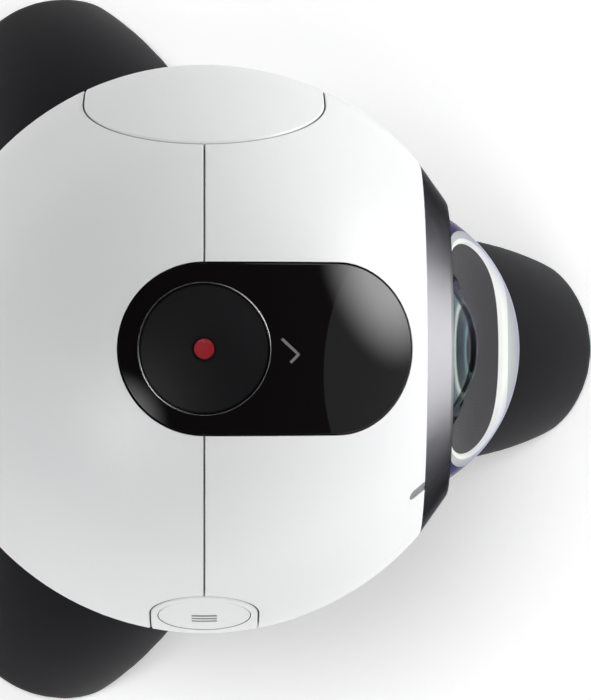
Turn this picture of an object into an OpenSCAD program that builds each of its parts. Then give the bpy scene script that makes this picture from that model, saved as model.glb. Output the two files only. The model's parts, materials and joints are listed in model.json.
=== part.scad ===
// A 360 degree camera: a white ball with a fisheye lens on two sides, on a black stand
// with three folding legs. Millimetres. Z is up, the front lens looks along -Y and the
// side door faces +X. The origin is on the table, under the middle of the ball.
// It is drawn with the legs open, the door shut and the keys up.

/* [Ball] */
// Diameter of the ball
ball_d = 60; // [58:0.5:62]
// Wall of the two shells
shell_t = 1.8; // [1.5:0.1:2.1]
// Diameter of the flat base of the ball
base_d = 29.23; // [27:0.01:31]
// Distance from the middle of the ball to the rim under each lens ring
rim_y = 22.65; // [22.2:0.05:23]
// Width of the line where the two shells meet
seam_gap = 0.16; // [0.1:0.02:0.3]
// Gap around the door, the window and the key plate
panel_gap = 0.15; // [0.1:0.01:0.25]
// Chamfer along the edges of the outer pieces
edge_c = 0.14; // [0.08:0.01:0.2]
// Diameter of the four screw posts in each shell
post_d = 3.2; // [2.8:0.1:3.4]

/* [Lenses] */
// Distance from the middle of the ball to the tip of a dome
lens_reach = 33.35; // [32.8:0.05:34]
// Radius of the outside of a dome
dome_r = 16.4; // [15.8:0.1:17]
// Thickness of a dome at its tip
dome_t = 2.2; // [1.6:0.1:2.8]
// Distance from the middle of the ball to the front of a lens ring
ring_face = 25.55; // [25.2:0.05:25.9]
// Width of the flat front of a lens ring
ring_lip = 1.45; // [1:0.05:1.6]
// Clearance around a dome in its ring
dome_fit = 0.08; // [0.03:0.01:0.15]
// Radius of the wide part of a lens barrel
barrel_r = 10.5; // [9.5:0.1:11.5]
// Radius of the inner lens behind a dome
inner_lens_r = 7.4; // [6.5:0.1:7.8]

/* [Top window] */
// Half width of the window
window_w = 8.6; // [8.2:0.1:9]
// Angle from the top of the ball to the middle of the window's front end
window_a = 27.8; // [27.8:0.4:28.2]
// Radius of the record button
record_r = 6.45; // [6:0.05:6.7]
// Travel of the record button
record_travel = 0.4; // [0.2:0.05:0.5]
// Radius of the red dot in the record button
dot_r = 1; // [0.7:0.05:1.5]
// Running clearance around the three keys
key_fit = 0.1; // [0.06:0.01:0.2]

/* [Key plate] */
// Half width of the key plate
key_plate_w = 5.6; // [5.3:0.1:6.2]
// Angle of each key above and below the middle of the ball
key_a = 21.5; // [20.5:0.1:23]
// Radius of the two keys on the plate
key_r = 4.74; // [4.2:0.02:4.9]
// Travel of the two keys on the plate
key_travel = 0.4; // [0.2:0.05:0.5]

/* [Side door] */
// Half width of the door
door_w = 12.5; // [12:0.1:13]
// Angle above and below the middle of the ball of the door's round ends
door_a = 21.5; // [20:0.1:22.5]
// Thickness of the door
door_t = 1.6; // [1.3:0.1:2]
// Distance from the middle of the ball to the floor behind the door
bay_x = 17.6; // [17:0.1:18]
// Width of the strap that keeps the door
strap_w = 6; // [4:0.5:8]

/* [Inside] */
// Length of the battery
battery_l = 31; // [29:0.5:32]
// Thickness of the battery
battery_t = 11.4; // [10.6:0.1:11.6]
// Height of the battery
battery_h = 28; // [26:0.5:28.2]
// Clearance of the battery in its tray
battery_fit = 0.15; // [0.1:0.01:0.2]
// Wall of the battery tray
tray_wall = 0.7; // [0.5:0.05:0.75]
// Thickness of the circuit boards
board_t = 1; // [0.6:0.1:1.2]
// Width and height of the main board
main_board_w = 26; // [22:0.5:27]
// Length of the two boards behind the sockets
port_board_l = 8; // [7:0.5:10]
// Width of the board behind the cable socket
port_board_w = 12; // [9:0.5:14]
// Length of the memory card
card_l = 15; // [14.5:0.1:15.1]
// Width of the memory card
card_w = 11; // [10:0.1:11.2]
// Thickness of the memory card
card_t = 0.8; // [0.7:0.05:1]

/* [Stand] */
// Length of a leg from its hinge to its tip
leg_l = 51.8; // [48:0.2:56]
// Angle by which an open leg leans out
leg_splay = 45; // [40:1:48]
// Largest radius of the closed legs
grip_r = 16.5; // [15.5:0.1:17.5]
// Distance of that largest radius below the hinges
grip_s = 20; // [16:0.5:22]
// Radius of the curve along the closed legs
grip_arc = 103; // [90:1:130]
// Radius of the curve across a leg's tip
tip_arc = 40; // [30:1:60]
// Distance from the axis to the flat back of a leg
leg_back = 6.5; // [6:0.1:7]
// Gap between neighbouring legs when they are closed
leg_gap = 0.4; // [0.3:0.05:0.8]
// Distance from the axis to a leg's hinge
hinge_r = 9.5; // [9.2:0.1:9.8]
// Radius of a hinge pin
pin_r = 0.8; // [0.6:0.05:1]
// Running clearance of a leg on its pin
pin_fit = 0.06; // [0.03:0.01:0.1]
// Thickness of a hinge ear
ear_t = 2.5; // [2:0.1:2.8]
// Width of the leg's tongue between two ears
tongue_w = 5.8; // [5:0.1:6.4]
// Height of the hub
hub_h = 7.2; // [6.6:0.1:9]
// Thickness of the rubber pad on the hub
pad_t = 1; // [0.6:0.1:1.6]
// Radius of the rubber pad on the hub
pad_r = 11.2; // [9:0.1:11.6]
// Thickness of the rubber feet
foot_t = 1.6; // [1.2:0.1:2.4]
// Depth by which the table cuts into the leg's lower corner
foot_cut = 1.5; // [1.2:0.1:2]
// Radius of the stand's screw, a quarter inch across
screw_r = 3.175; // [3:0.025:3.3]
// Length of the screw above the pad
screw_l = 5; // [4:0.1:5.4]
// Clearance of the screw in the bush
screw_fit = 0.05; // [0.03:0.01:0.1]

/* [Hidden] */
$fn = 96;
ball_r = ball_d / 2;
shell_in = ball_r - shell_t;
base_h = sqrt(ball_r * ball_r - base_d * base_d / 4);
// inside of the window and of the key plate, which have a flange behind the shell
flange_in = shell_in - 1;
shell_fit = 0.05;
big = 80;

// stand, from the table up
hinge_z = leg_l * cos(leg_splay) + (hinge_r - leg_back) * sin(leg_splay) - foot_cut;
hub_drop = 2.6;
leg_top = 2.25;
hub_z = hinge_z + hub_drop;
hub_top = hub_z + hub_h;
stand_top = hub_top + pad_t;
pad_gap = 0.02;
ball_z = stand_top + pad_gap + base_h;
ear_r = 2.4;
ear_in = tongue_w / 2 + 0.2;
ear_out = ear_in + ear_t;
pocket_r = sqrt(ear_r * ear_r + hub_drop * hub_drop) + 0.2;
// radius of the closed legs at the height of the hinges
grip_top = grip_r - grip_arc + sqrt(grip_arc * grip_arc - grip_s * grip_s);
head_r = 5.8;
head_h = 2;
head_z = hub_z + 3.4;

// base of the ball
base_r = sqrt(shell_in * shell_in - base_h * base_h) - 0.1;
base_t = 1.8;
bush_r = 4.6;
bush_h = 6.4;

// lenses, along the lens axis
dome_c = lens_reach - dome_r;
dome_rim = sqrt(dome_r * dome_r - (ring_face - dome_c) * (ring_face - dome_c));
dome_in = dome_r - 5.9;
seat_y = ring_face - 2;
seat_r = dome_rim - 1.8;
ring_back = rim_y - 1;
rim_in = sqrt(shell_in * shell_in - rim_y * rim_y);
rim_out = sqrt(ball_r * ball_r - rim_y * rim_y);
tray_y = battery_t / 2 + battery_fit + tray_wall;
tray_z = battery_h / 2 + battery_fit + tray_wall;
post_fit = 0.17;
post_x = 7.5;
post_y = tray_z + post_d / 2 + post_fit;
barrel_y0 = tray_y + board_t;
barrel_y1 = seat_y - 3.95;
neck_r = 5.5;
neck_y = 12.5;
lens_seat = barrel_y1 - 1.6;
lens_bulge = inner_lens_r * 1.28;
rear_lens_r = 5;
rear_lens_t = 3.6;
rear_lens_bulge = 12;

// record button, up from the middle of the ball
record_flange_r = record_r + 0.7;
record_flange_z = sqrt(flange_in * flange_in - record_flange_r * record_flange_r) - 0.85;
record_stem_z = record_flange_z - 0.7;
switch_h = 1.6;
record_switch_z = record_stem_z - record_travel - 0.05 - switch_h;
dot_z = ball_r - 1.4;

// keys on the plate, out from the middle of the ball
key_flange_r = key_r + 0.6;
key_flange_h = sqrt(flange_in * flange_in - key_flange_r * key_flange_r) - 0.75;
key_stem_h = key_flange_h - 0.6;
key_switch_h = key_stem_h - key_travel - 0.05 - switch_h;
key_board_h = key_switch_h - 0.8;
key_board_l = 8.4;
key_board_w = 9;

// display under the window
display_w = 14;
display_l = 9;
display_t = 1.4;
display_h = sqrt(flange_in * flange_in - display_w * display_w / 4 - display_l * display_l / 4) - 0.12;

// door bay
bay_t = 0.8;
bay_face = bay_x + bay_t;
rib_w = door_w - 1.9;
rib_t = 1;
bay_gap = 0.3;
seal_w = rib_w + 0.6;
collar_w = seal_w + 0.2;
door_in = ball_r - door_t;
rib_in = ball_r - 3.8;
strap_t = 0.9;
strap_gap = 0.2;
strap_v = sqrt(pow(rib_w - rib_t, 2) - strap_w * strap_w / 4) - strap_t / 2 - strap_gap;

// inside
battery_x0 = bay_face - battery_l;
tray_x0 = battery_x0 - battery_fit - tray_wall;
board_x0 = tray_x0 - board_t;
usb_h = 7.5;
usb_t = 2.6;
usb_l = 5.5;
card_x1 = bay_face + 1.5;
card_z1 = -2.8;
card_z0 = card_z1 - card_w;
socket_t = card_t + 1.2;
mic_a = 45.8;
mic_s = 22;
mic_l = 2.65;
mic_w = 1.3;

white = [0.93, 0.93, 0.92];
black = [0.04, 0.04, 0.045];
dark = [0.12, 0.12, 0.13];
gunmetal = [0.35, 0.35, 0.36];
steel = [0.7, 0.7, 0.72];
board_green = [0.05, 0.22, 0.12];
glass_tint = [0.55, 0.6, 0.68];

// Helpers that several pieces share

// a sphere with its poles on the lens axis, where every shell and window is open
module ball(r) rotate([90, 0, 0]) sphere(r);

module at_ball() translate([0, 0, ball_z]) children();

// side 1 looks along -Y, side -1 along +Y
module lens_axis(side) at_ball() rotate([side * 90, 0, 0]) children();

// turns the plane of a slot so that it runs from the top of the ball towards -Y
module over_top() rotate([0, 0, 90]) rotate([0, -90, 0]) children();

// Outline of half a slot: distance from its middle, then distance from the ball's centre.
// grow is 1 for an opening whose edge is chamfered outwards and -1 for a piece in it.
function slot_half(w, h0, c, grow) = let (
        e = sqrt(ball_r * ball_r - w * w),
        s = w / ball_r,
        far = [w + grow * 4 * c * sqrt(1 - s * s), e - c + 4 * c * (1 - grow * s)]
    ) c > 0
    ? [[0, h0], [w, h0], [w, e - c], far, [far[0], ball_r + 2], [0, ball_r + 2]]
    : [[0, h0], [w, h0], [w, ball_r + 2], [0, ball_r + 2]];

function both_sides(p) = concat(
    [for (q = p) if (q[0] > 0) [q[1], q[0]]],
    [for (i = [len(p) - 1 : -1 : 0]) if (p[i][0] > 0) [p[i][1], -p[i][0]]]
);

// A slot with round ends on the ball, from angle a0 to a1 above the X axis.
// A piece gets half a turn at each end, so that its two tapered ends keep apart.
module ball_slot(w, a0, a1, h0, c = 0, grow = 1) {
    p = slot_half(w, h0, c, grow);
    turn = grow > 0 ? 360 : 180;
    rotate([0, -a0, 0]) rotate([0, 90, 0]) rotate([0, 0, -90]) rotate_extrude(angle = turn) polygon(p);
    rotate([0, -a1, 0]) rotate([0, 90, 0]) rotate([0, 0, 90]) rotate_extrude(angle = turn) polygon(p);
    rotate([0, -a0, 0]) rotate([90, 0, 0]) rotate_extrude(angle = a1 - a0) polygon(both_sides(p));
}

module window_slot(w, h0, c = 0, grow = 1) over_top() ball_slot(w, 0, window_a, h0, c, grow);
module door_slot(w, h0, c = 0, grow = 1) ball_slot(w, -door_a, door_a, h0, c, grow);
module key_slot(w, h0, c = 0, grow = 1) rotate([0, 0, 180]) ball_slot(w, -key_a, key_a, h0, c, grow);

// points local Z along a key, up is 1 for the upper key and -1 for the lower one
module key_axis(up) rotate([0, 0, 180]) rotate([0, -up * key_a, 0]) rotate([0, 90, 0]) children();

module post_places() {
    for (x = [-post_x, post_x], y = [-post_y, post_y]) translate([x, y, 0]) children();
}

module mic_pill(side, grow, h0, h1) {
    mirror([0, side > 0 ? 0 : 1, 0]) rotate([0, -mic_a, 0]) rotate([asin(mic_s / ball_r), 0, 0])
        translate([0, 0, h0]) linear_extrude(h1 - h0) {
            square([mic_w + 2 * grow, mic_l - mic_w], center = true);
            for (y = [-1, 1]) translate([0, y * (mic_l - mic_w) / 2]) circle(mic_w / 2 + grow);
        }
}

// Ball

module seam_line() {
    g = seam_gap / 2;
    rotate([90, 0, 0]) rotate_extrude() polygon([
        [ball_r - 0.9, -g], [ball_r - edge_c, -g], [ball_r + 0.5, -g - 0.5 - edge_c],
        [ball_r + 0.5, g + 0.5 + edge_c], [ball_r - edge_c, g], [ball_r - 0.9, g]
    ]);
}

module shell(side) {
    color(white) at_ball() difference() {
        union() {
            difference() {
                ball(ball_r);
                ball(shell_in);
            }
            intersection() {
                rotate([side * 90, 0, 0]) post_places() cylinder(d = post_d, h = rim_y);
                ball(ball_r - 0.6);
            }
        }
        translate([-big / 2, side > 0 ? 0 : -big, -big / 2]) cube(big);
        translate([-big / 2, side > 0 ? -rim_y - big : rim_y, -big / 2]) cube(big);
        translate([-big / 2, -big / 2, -base_h - big]) cube(big);
        seam_line();
        // behind the seam the window's opening is only its round end
        if (side > 0) window_slot(window_w + panel_gap / 2, 15);
        else cylinder(r = window_w + panel_gap / 2, h = big);
        door_slot(door_w + panel_gap / 2, 15, edge_c, 1);
        key_slot(key_plate_w + panel_gap / 2, 15, edge_c, 1);
        mic_pill(side, 0, ball_r - 1.1, ball_r + 1);
        if (side > 0) {
            rotate([90, 0, 0]) post_places() translate([0, 0, -1]) cylinder(r = 0.78, h = 8);
        } else {
            rotate([-90, 0, 0]) post_places() {
                translate([0, 0, -1]) cylinder(r = 0.85, h = 8);
                translate([0, 0, 5]) cylinder(r = 1.25, h = big);
            }
        }
    }
}
module front_shell() shell(1);
module rear_shell() shell(-1);

module shell_screws() {
    color(steel) at_ball() rotate([-90, 0, 0]) post_places() {
        translate([0, 0, -5.5]) cylinder(r = 0.76, h = 10.6);
        difference() {
            translate([0, 0, 5]) cylinder(r = 1.2, h = 1);
            translate([0, 0, 5.5]) cylinder(r = 0.6, h = 1, $fn = 6);
        }
    }
}

module mic_meshes() {
    color(dark) at_ball() {
        mic_pill(1, -0.04, ball_r - 1.1, ball_r - 0.2);
        mic_pill(-1, -0.04, ball_r - 1.1, ball_r - 0.2);
    }
}

module base_plate() {
    color(white) at_ball() difference() {
        union() {
            translate([0, 0, -base_h]) cylinder(r = base_r, h = base_t);
            intersection() {
                translate([0, 0, -base_h + 0.4]) cylinder(r = base_r + 6, h = base_t - 0.4);
                sphere(shell_in - shell_fit);
            }
        }
        translate([0, 0, -base_h - 1]) cylinder(r = bush_r + 0.03, h = base_t + 2);
    }
}

module tripod_bush() {
    color(steel) at_ball() difference() {
        union() {
            translate([0, 0, -base_h]) cylinder(r = bush_r, h = bush_h);
            translate([0, 0, -base_h + base_t]) cylinder(r = bush_r + 2.2, h = 1.2);
        }
        translate([0, 0, -base_h - 1]) cylinder(r = screw_r + screw_fit, h = screw_l + 1.5);
    }
}

// Lenses

module lens_ring(side) {
    front = dome_rim + dome_fit + ring_lip;
    bore = dome_rim + dome_fit;
    color(gunmetal) difference() {
        lens_axis(side) rotate_extrude() polygon([
            [seat_r, ring_back], [rim_in - 0.15, ring_back], [rim_in - 0.15, rim_y],
            [rim_out - 0.05, rim_y], [front + 0.4, ring_face - 0.25], [front, ring_face],
            [bore + 0.2, ring_face], [bore, ring_face - 0.2], [bore, seat_y], [seat_r, seat_y]
        ]);
        at_ball() mic_pill(side, 0, ball_r - 1.1, ball_r + 1);
    }
}
module front_lens_ring() lens_ring(1);
module rear_lens_ring() lens_ring(-1);

module dome(side) {
    color(glass_tint) lens_axis(side) difference() {
        intersection() {
            translate([0, 0, dome_c]) sphere(dome_r);
            translate([0, 0, seat_y]) cylinder(r = dome_rim, h = 20);
        }
        translate([0, 0, lens_reach - dome_t - dome_in]) sphere(dome_in);
    }
}
module front_dome() dome(1);
module rear_dome() dome(-1);

module baffle(side) {
    color(gunmetal) lens_axis(side) rotate_extrude() polygon([
        [inner_lens_r + 0.3, barrel_y1], [seat_r - 0.05, barrel_y1], [seat_r - 0.05, seat_y],
        [seat_r - 2.2, seat_y], [inner_lens_r + 0.3, barrel_y1 + 0.8]
    ]);
}
module front_baffle() baffle(1);
module rear_baffle() baffle(-1);

module lens_group(side) {
    color(glass_tint) lens_axis(side) {
        intersection() {
            translate([0, 0, lens_seat]) cylinder(r = inner_lens_r, h = 8);
            translate([0, 0, lens_seat + 0.6 - sqrt(lens_bulge * lens_bulge - inner_lens_r * inner_lens_r)])
                sphere(lens_bulge);
        }
        intersection() {
            translate([0, 0, neck_y + 1.1]) cylinder(r = rear_lens_r, h = rear_lens_t);
            translate([0, 0, neck_y + 1.1 + rear_lens_t - rear_lens_bulge]) sphere(rear_lens_bulge);
        }
    }
}
module front_lens_group() lens_group(1);
module rear_lens_group() lens_group(-1);

module barrel(side) {
    color(black) lens_axis(side) rotate_extrude() polygon([
        [neck_r - 1.3, barrel_y0], [neck_r, barrel_y0], [neck_r, neck_y], [barrel_r, neck_y],
        [barrel_r, barrel_y1], [inner_lens_r + 0.05, barrel_y1], [inner_lens_r + 0.05, lens_seat],
        [rear_lens_r + 0.05, lens_seat], [rear_lens_r + 0.05, neck_y + 1.1],
        [neck_r - 1.3, neck_y + 1.1]
    ]);
}
module front_barrel() barrel(1);
module rear_barrel() barrel(-1);

module sensor_board(side) {
    color(board_green) lens_axis(side) translate([-neck_r, -neck_r, tray_y])
        cube([2 * neck_r, 2 * neck_r, board_t]);
}
module front_sensor_board() sensor_board(1);
module rear_sensor_board() sensor_board(-1);

module image_sensor(side) {
    color(dark) lens_axis(side) translate([-2.8, -2.1, barrel_y0]) cube([5.6, 4.2, 0.8]);
}
module front_image_sensor() image_sensor(1);
module rear_image_sensor() image_sensor(-1);

// Top window and record button

module top_window() {
    color(black) at_ball() difference() {
        union() {
            intersection() {
                window_slot(window_w - panel_gap / 2, 14, edge_c, -1);
                ball(ball_r);
            }
            intersection() {
                window_slot(window_w + 1, 15);
                ball(shell_in - shell_fit);
            }
        }
        ball(flange_in);
        cylinder(r = record_r + key_fit, h = big);
        translate([0, 0, sqrt(ball_r * ball_r - record_r * record_r) - 0.3])
            cylinder(r1 = record_r, r2 = record_r + 2, h = 2);
    }
}

module display_module() {
    color(dark) at_ball() over_top() rotate([0, -window_a, 0])
        translate([display_h - display_t, -display_w / 2, -display_l / 2])
            cube([display_t, display_w, display_l]);
}

module record_button() {
    color(dark) at_ball() difference() {
        union() {
            intersection() {
                translate([0, 0, record_flange_z]) cylinder(r = record_r, h = 10);
                sphere(ball_r - 0.08);
            }
            translate([0, 0, record_flange_z]) cylinder(r = record_flange_r, h = 0.7);
            translate([0, 0, record_stem_z]) cylinder(r = 2.2, h = 1);
        }
        translate([0, 0, ball_r - 0.4]) cylinder(r = dot_r + 0.27, h = 2);
        translate([0, 0, dot_z]) cylinder(r = dot_r + 0.01, h = 5);
        difference() {
            translate([0, 0, sqrt(ball_r * ball_r - record_r * record_r) - 0.2])
                cylinder(r = record_r + 1, h = 3);
            translate([0, 0, sqrt(ball_r * ball_r - record_r * record_r) - 0.21])
                cylinder(r1 = record_r, r2 = record_r - 3, h = 3);
        }
    }
}

module record_dot() {
    color([0.55, 0.05, 0.08]) at_ball() intersection() {
        translate([0, 0, dot_z]) cylinder(r = dot_r, h = 5);
        sphere(ball_r - 0.14);
    }
}

module record_switch() {
    color(steel) at_ball() translate([0, 0, record_switch_z]) {
        translate([-2, -2, 0]) cube([4, 4, switch_h - 0.4]);
        cylinder(r = 1.1, h = switch_h);
    }
}

module button_carrier() {
    color(dark) at_ball() {
        translate([0, 0, tray_z]) cylinder(r = 3.4, h = record_switch_z - tray_z);
        translate([0, 0, record_switch_z - 1]) cylinder(r = 7, h = 1);
    }
}

// Key plate

module key_plate() {
    color(white) at_ball() difference() {
        union() {
            difference() {
                intersection() {
                    key_slot(key_plate_w - panel_gap / 2, 15, edge_c, -1);
                    sphere(ball_r);
                }
                sphere(flange_in);
            }
            difference() {
                intersection() {
                    key_slot(key_plate_w + 1, 15);
                    sphere(shell_in - shell_fit);
                }
                sphere(flange_in);
            }
        }
        for (up = [-1, 1]) key_axis(up) translate([0, 0, 20]) cylinder(r = key_r + key_fit, h = 20);
    }
}

module key(up) {
    color(white) at_ball() key_axis(up) {
        intersection() {
            translate([0, 0, key_flange_h]) cylinder(r = key_r, h = 10);
            sphere(ball_r - 0.05);
        }
        translate([0, 0, key_flange_h]) cylinder(r = key_flange_r, h = 0.6);
        translate([0, 0, key_stem_h]) cylinder(r = 1.5, h = 1);
    }
}
module menu_button() key(1);
module power_button() key(-1);

module key_switches() {
    color(steel) at_ball() for (up = [-1, 1]) key_axis(up) translate([0, 0, key_switch_h]) {
        translate([-1.75, -1.75, 0]) cube([3.5, 3.5, switch_h - 0.4]);
        cylinder(r = 1, h = switch_h);
    }
}

module key_boards() {
    color(board_green) at_ball() for (up = [-1, 1]) key_axis(up)
        translate([-key_board_l / 2, -key_board_w / 2, key_board_h])
            cube([key_board_l, key_board_w, key_switch_h - key_board_h]);
}

module key_bracket() {
    // corners of the faces behind the two boards
    c = cos(key_a);
    s = sin(key_a);
    top = [key_board_h * c - key_board_l / 2 * s, key_board_h * s + key_board_l / 2 * c];
    mid = [key_board_h * c + key_board_l / 2 * s, key_board_h * s - key_board_l / 2 * c];
    color(dark) at_ball() rotate([0, 0, 180]) rotate([90, 0, 0])
        translate([0, 0, -key_board_w / 2]) linear_extrude(key_board_w) polygon([
            [-board_x0, -top[1]], [top[0], -top[1]], [mid[0], -mid[1]],
            [mid[0], mid[1]], [top[0], top[1]], [-board_x0, top[1]]
        ]);
}

// Side door and what is behind it

// the space in front of the floor behind the door
module above_bay() translate([bay_face + bay_gap, -big / 2, -big / 2]) cube(big);

module side_door() {
    color(white) at_ball() {
        difference() {
            intersection() {
                door_slot(door_w - panel_gap / 2, 15, edge_c, -1);
                sphere(ball_r);
            }
            sphere(door_in);
        }
        difference() {
            intersection() {
                door_slot(rib_w, 12);
                sphere(ball_r - door_t / 2);
                above_bay();
            }
            door_slot(rib_w - rib_t, 10);
            sphere(rib_in);
        }
    }
}

module door_seal() {
    color(black) at_ball() difference() {
        intersection() {
            door_slot(seal_w, 12);
            sphere(door_in - 0.6);
            above_bay();
        }
        door_slot(rib_w, 10);
        sphere(rib_in + 0.3);
    }
}

module door_strap() {
    color(black) at_ball() intersection() {
        rotate([0, door_a, 0]) translate([10, -strap_w / 2, -strap_v - strap_t / 2])
            cube([25, strap_w, strap_t]);
        sphere(door_in - 0.03);
        translate([bay_face + 0.03, -big / 2, -big / 2]) cube(big);
    }
}

module bay_bezel() {
    color(dark) at_ball() difference() {
        intersection() {
            door_slot(collar_w + 2, 10);
            sphere(shell_in - shell_fit);
            translate([bay_x, -big / 2, -big / 2]) cube(big);
        }
        intersection() {
            door_slot(collar_w, 8);
            translate([bay_face, -big / 2, -big / 2]) cube(big);
        }
        translate([bay_x - 1, -battery_t / 2 - battery_fit, -battery_h / 2 - battery_fit])
            cube([4, battery_t + 2 * battery_fit, battery_h + 2 * battery_fit]);
        translate([bay_x - 1, tray_y + 0.8, -usb_h / 2]) cube([4, usb_t, usb_h]);
        translate([bay_x - 1, -tray_y - 1.4 - card_t - 0.15, card_z0 - 0.15])
            cube([4, card_t + 0.3, card_w + 0.3]);
    }
}

module battery() {
    color(dark) at_ball() difference() {
        translate([battery_x0, -battery_t / 2, -battery_h / 2]) cube([battery_l, battery_t, battery_h]);
        translate([bay_face - 0.7, -1.5, battery_h / 2 - 3]) cube([2, 3, 1.2]);
    }
}

module battery_contacts() {
    color([0.85, 0.68, 0.3]) at_ball() for (z = [-4, 0, 4])
        translate([tray_x0, -1, z - 0.75]) cube([tray_wall + battery_fit, 2, 1.5]);
}

module inner_frame() {
    color(dark) at_ball() difference() {
        union() {
            translate([tray_x0, -tray_y, -tray_z]) cube([bay_x - tray_x0, 2 * tray_y, 2 * tray_z]);
            translate([0, 0, -base_h + bush_h]) cylinder(r = 4, h = base_h - bush_h);
        }
        translate([battery_x0 - battery_fit, -battery_t / 2 - battery_fit, -battery_h / 2 - battery_fit])
            cube([big, battery_t + 2 * battery_fit, battery_h + 2 * battery_fit]);
        translate([tray_x0 - 1, -1.5, -6]) cube([5, 3, 12]);
    }
}

module main_board() {
    color(board_green) at_ball() translate([board_x0, -main_board_w / 2, -main_board_w / 2])
        cube([board_t, main_board_w, main_board_w]);
}

module port_boards() {
    color(board_green) at_ball() {
        translate([bay_x - port_board_l, tray_y, -port_board_w / 2])
            cube([port_board_l, 0.8, port_board_w]);
        translate([bay_x - port_board_l, -tray_y - 0.8, card_z0 - 0.6])
            cube([port_board_l, 0.8, card_w + 1.2]);
    }
}

module usb_socket() {
    color(steel) at_ball() difference() {
        translate([bay_x - usb_l, tray_y + 0.8, -usb_h / 2]) cube([usb_l, usb_t, usb_h]);
        difference() {
            translate([bay_x - usb_l + 0.6, tray_y + 1.1, -usb_h / 2 + 0.3])
                cube([usb_l, usb_t - 0.6, usb_h - 0.6]);
            translate([bay_x - usb_l, tray_y + 1.7, -usb_h / 2 + 1.4])
                cube([usb_l - 0.8, 0.7, usb_h - 2.8]);
        }
    }
}

module card_socket() {
    color(steel) at_ball() difference() {
        translate([neck_r + 0.7, -tray_y - 0.8 - socket_t, card_z0 - 0.6])
            cube([bay_x - neck_r - 0.7, socket_t, card_w + 1.2]);
        translate([0, -tray_y - 1.4 - card_t - 0.05, card_z0 - 0.05])
            cube([big, card_t + 0.1, card_w + 0.1]);
    }
}

module memory_card() {
    color(black) at_ball() translate([card_x1 - card_l, -tray_y - 1.4 - card_t, card_z0])
        cube([card_l, card_t, card_w]);
}

// Stand

module each_leg() {
    for (a = [-90, 30, 150]) rotate([0, 0, a]) children();
}

// axis across the leg through its hinge
module hinge_axis() translate([hinge_r, 0, hinge_z]) rotate([90, 0, 0]) children();

module tripod_hub() {
    color(black) difference() {
        union() {
            rotate_extrude() polygon([
                [0, hub_z], [grip_top - 0.7, hub_z], [grip_top - 0.1, hub_z + 0.6],
                [grip_top - 0.3, hub_z + hub_h * 0.6], [grip_top - 1.2, hub_top - 0.6],
                [grip_top - 1.9, hub_top], [0, hub_top]
            ]);
            each_leg() for (y = [-ear_out, ear_in]) {
                hinge_axis() translate([0, 0, y]) cylinder(r = ear_r, h = ear_t);
                translate([hinge_r - ear_r, y, hinge_z]) cube([2 * ear_r, ear_t, hub_drop + 1]);
            }
        }
        each_leg() hinge_axis() cylinder(r = pin_r + 0.01, h = 30, center = true);
        translate([0, 0, hub_z - 1]) cylinder(r = head_r + 0.1, h = head_z + head_h - hub_z + 1);
        cylinder(r = screw_r + 0.02, h = big * 2);
    }
}

module tripod_screw() {
    color(steel) difference() {
        union() {
            translate([0, 0, head_z]) cylinder(r = head_r, h = head_h);
            translate([0, 0, head_z]) cylinder(r = screw_r, h = stand_top + screw_l - 0.4 - head_z);
            translate([0, 0, stand_top + screw_l - 0.4]) cylinder(r1 = screw_r, r2 = screw_r - 0.4, h = 0.4);
        }
        translate([-big / 2, -0.7, head_z - 1]) cube([big, 1.4, 1.9]);
    }
}

module hub_pad() {
    color([0.06, 0.06, 0.06]) difference() {
        translate([0, 0, hub_top]) cylinder(r = pad_r, h = pad_t);
        translate([0, 0, hub_top - 1]) cylinder(r = screw_r + 0.6, h = pad_t + 2);
    }
}

module leg_pins() {
    color(steel) each_leg() hinge_axis() cylinder(r = pin_r, h = 2 * ear_out, center = true);
}

// a third of a turn around the axis from x0 outwards, less half of a gap on each side
module leg_third(x0, gap) {
    side = gap / 2 / sin(60);
    linear_extrude(2 * big, center = true) polygon([
        [x0, -(x0 - side) * tan(60)], [big, -(big - side) * tan(60)],
        [big, (big - side) * tan(60)], [x0, (x0 - side) * tan(60)]
    ]);
}

// a third of the closed grip, with the hinge at its own height zero
module closed_leg() {
    intersection() {
        rotate_extrude() intersection() {
            translate([grip_r - grip_arc, -grip_s]) circle(grip_arc, $fn = 720);
            translate([0, -leg_l - 1]) square([grip_r + 1, leg_l + 1 + leg_top]);
        }
        leg_third(leg_back, leg_gap);
        translate([0, 0, tip_arc - leg_l]) rotate([0, 90, 0]) cylinder(r = tip_arc, h = 30);
    }
}

module open_leg() {
    difference() {
        intersection() {
            translate([hinge_r, 0, hinge_z]) rotate([0, -leg_splay, 0])
                translate([-hinge_r, 0, 0]) closed_leg();
            leg_third(1, 2 * leg_gap);
        }
        for (y = [-ear_out - 0.3, tongue_w / 2]) hinge_axis()
            translate([0, 0, y]) cylinder(r = pocket_r, h = ear_t + 0.5);
        hinge_axis() cylinder(r = pin_r + pin_fit, h = tongue_w + 2, center = true);
    }
}

module leg(a) {
    color(black) rotate([0, 0, a]) intersection() {
        open_leg();
        translate([-big, -big, foot_t]) cube([2 * big, 2 * big, hinge_z + leg_top - foot_t]);
    }
}
module leg_front() leg(-90);
module leg_right() leg(30);
module leg_left() leg(150);

module foot(a) {
    color([0.06, 0.06, 0.06]) rotate([0, 0, a]) intersection() {
        open_leg();
        translate([-big, -big, 0]) cube([2 * big, 2 * big, foot_t]);
    }
}
module foot_front() foot(-90);
module foot_right() foot(30);
module foot_left() foot(150);

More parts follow.
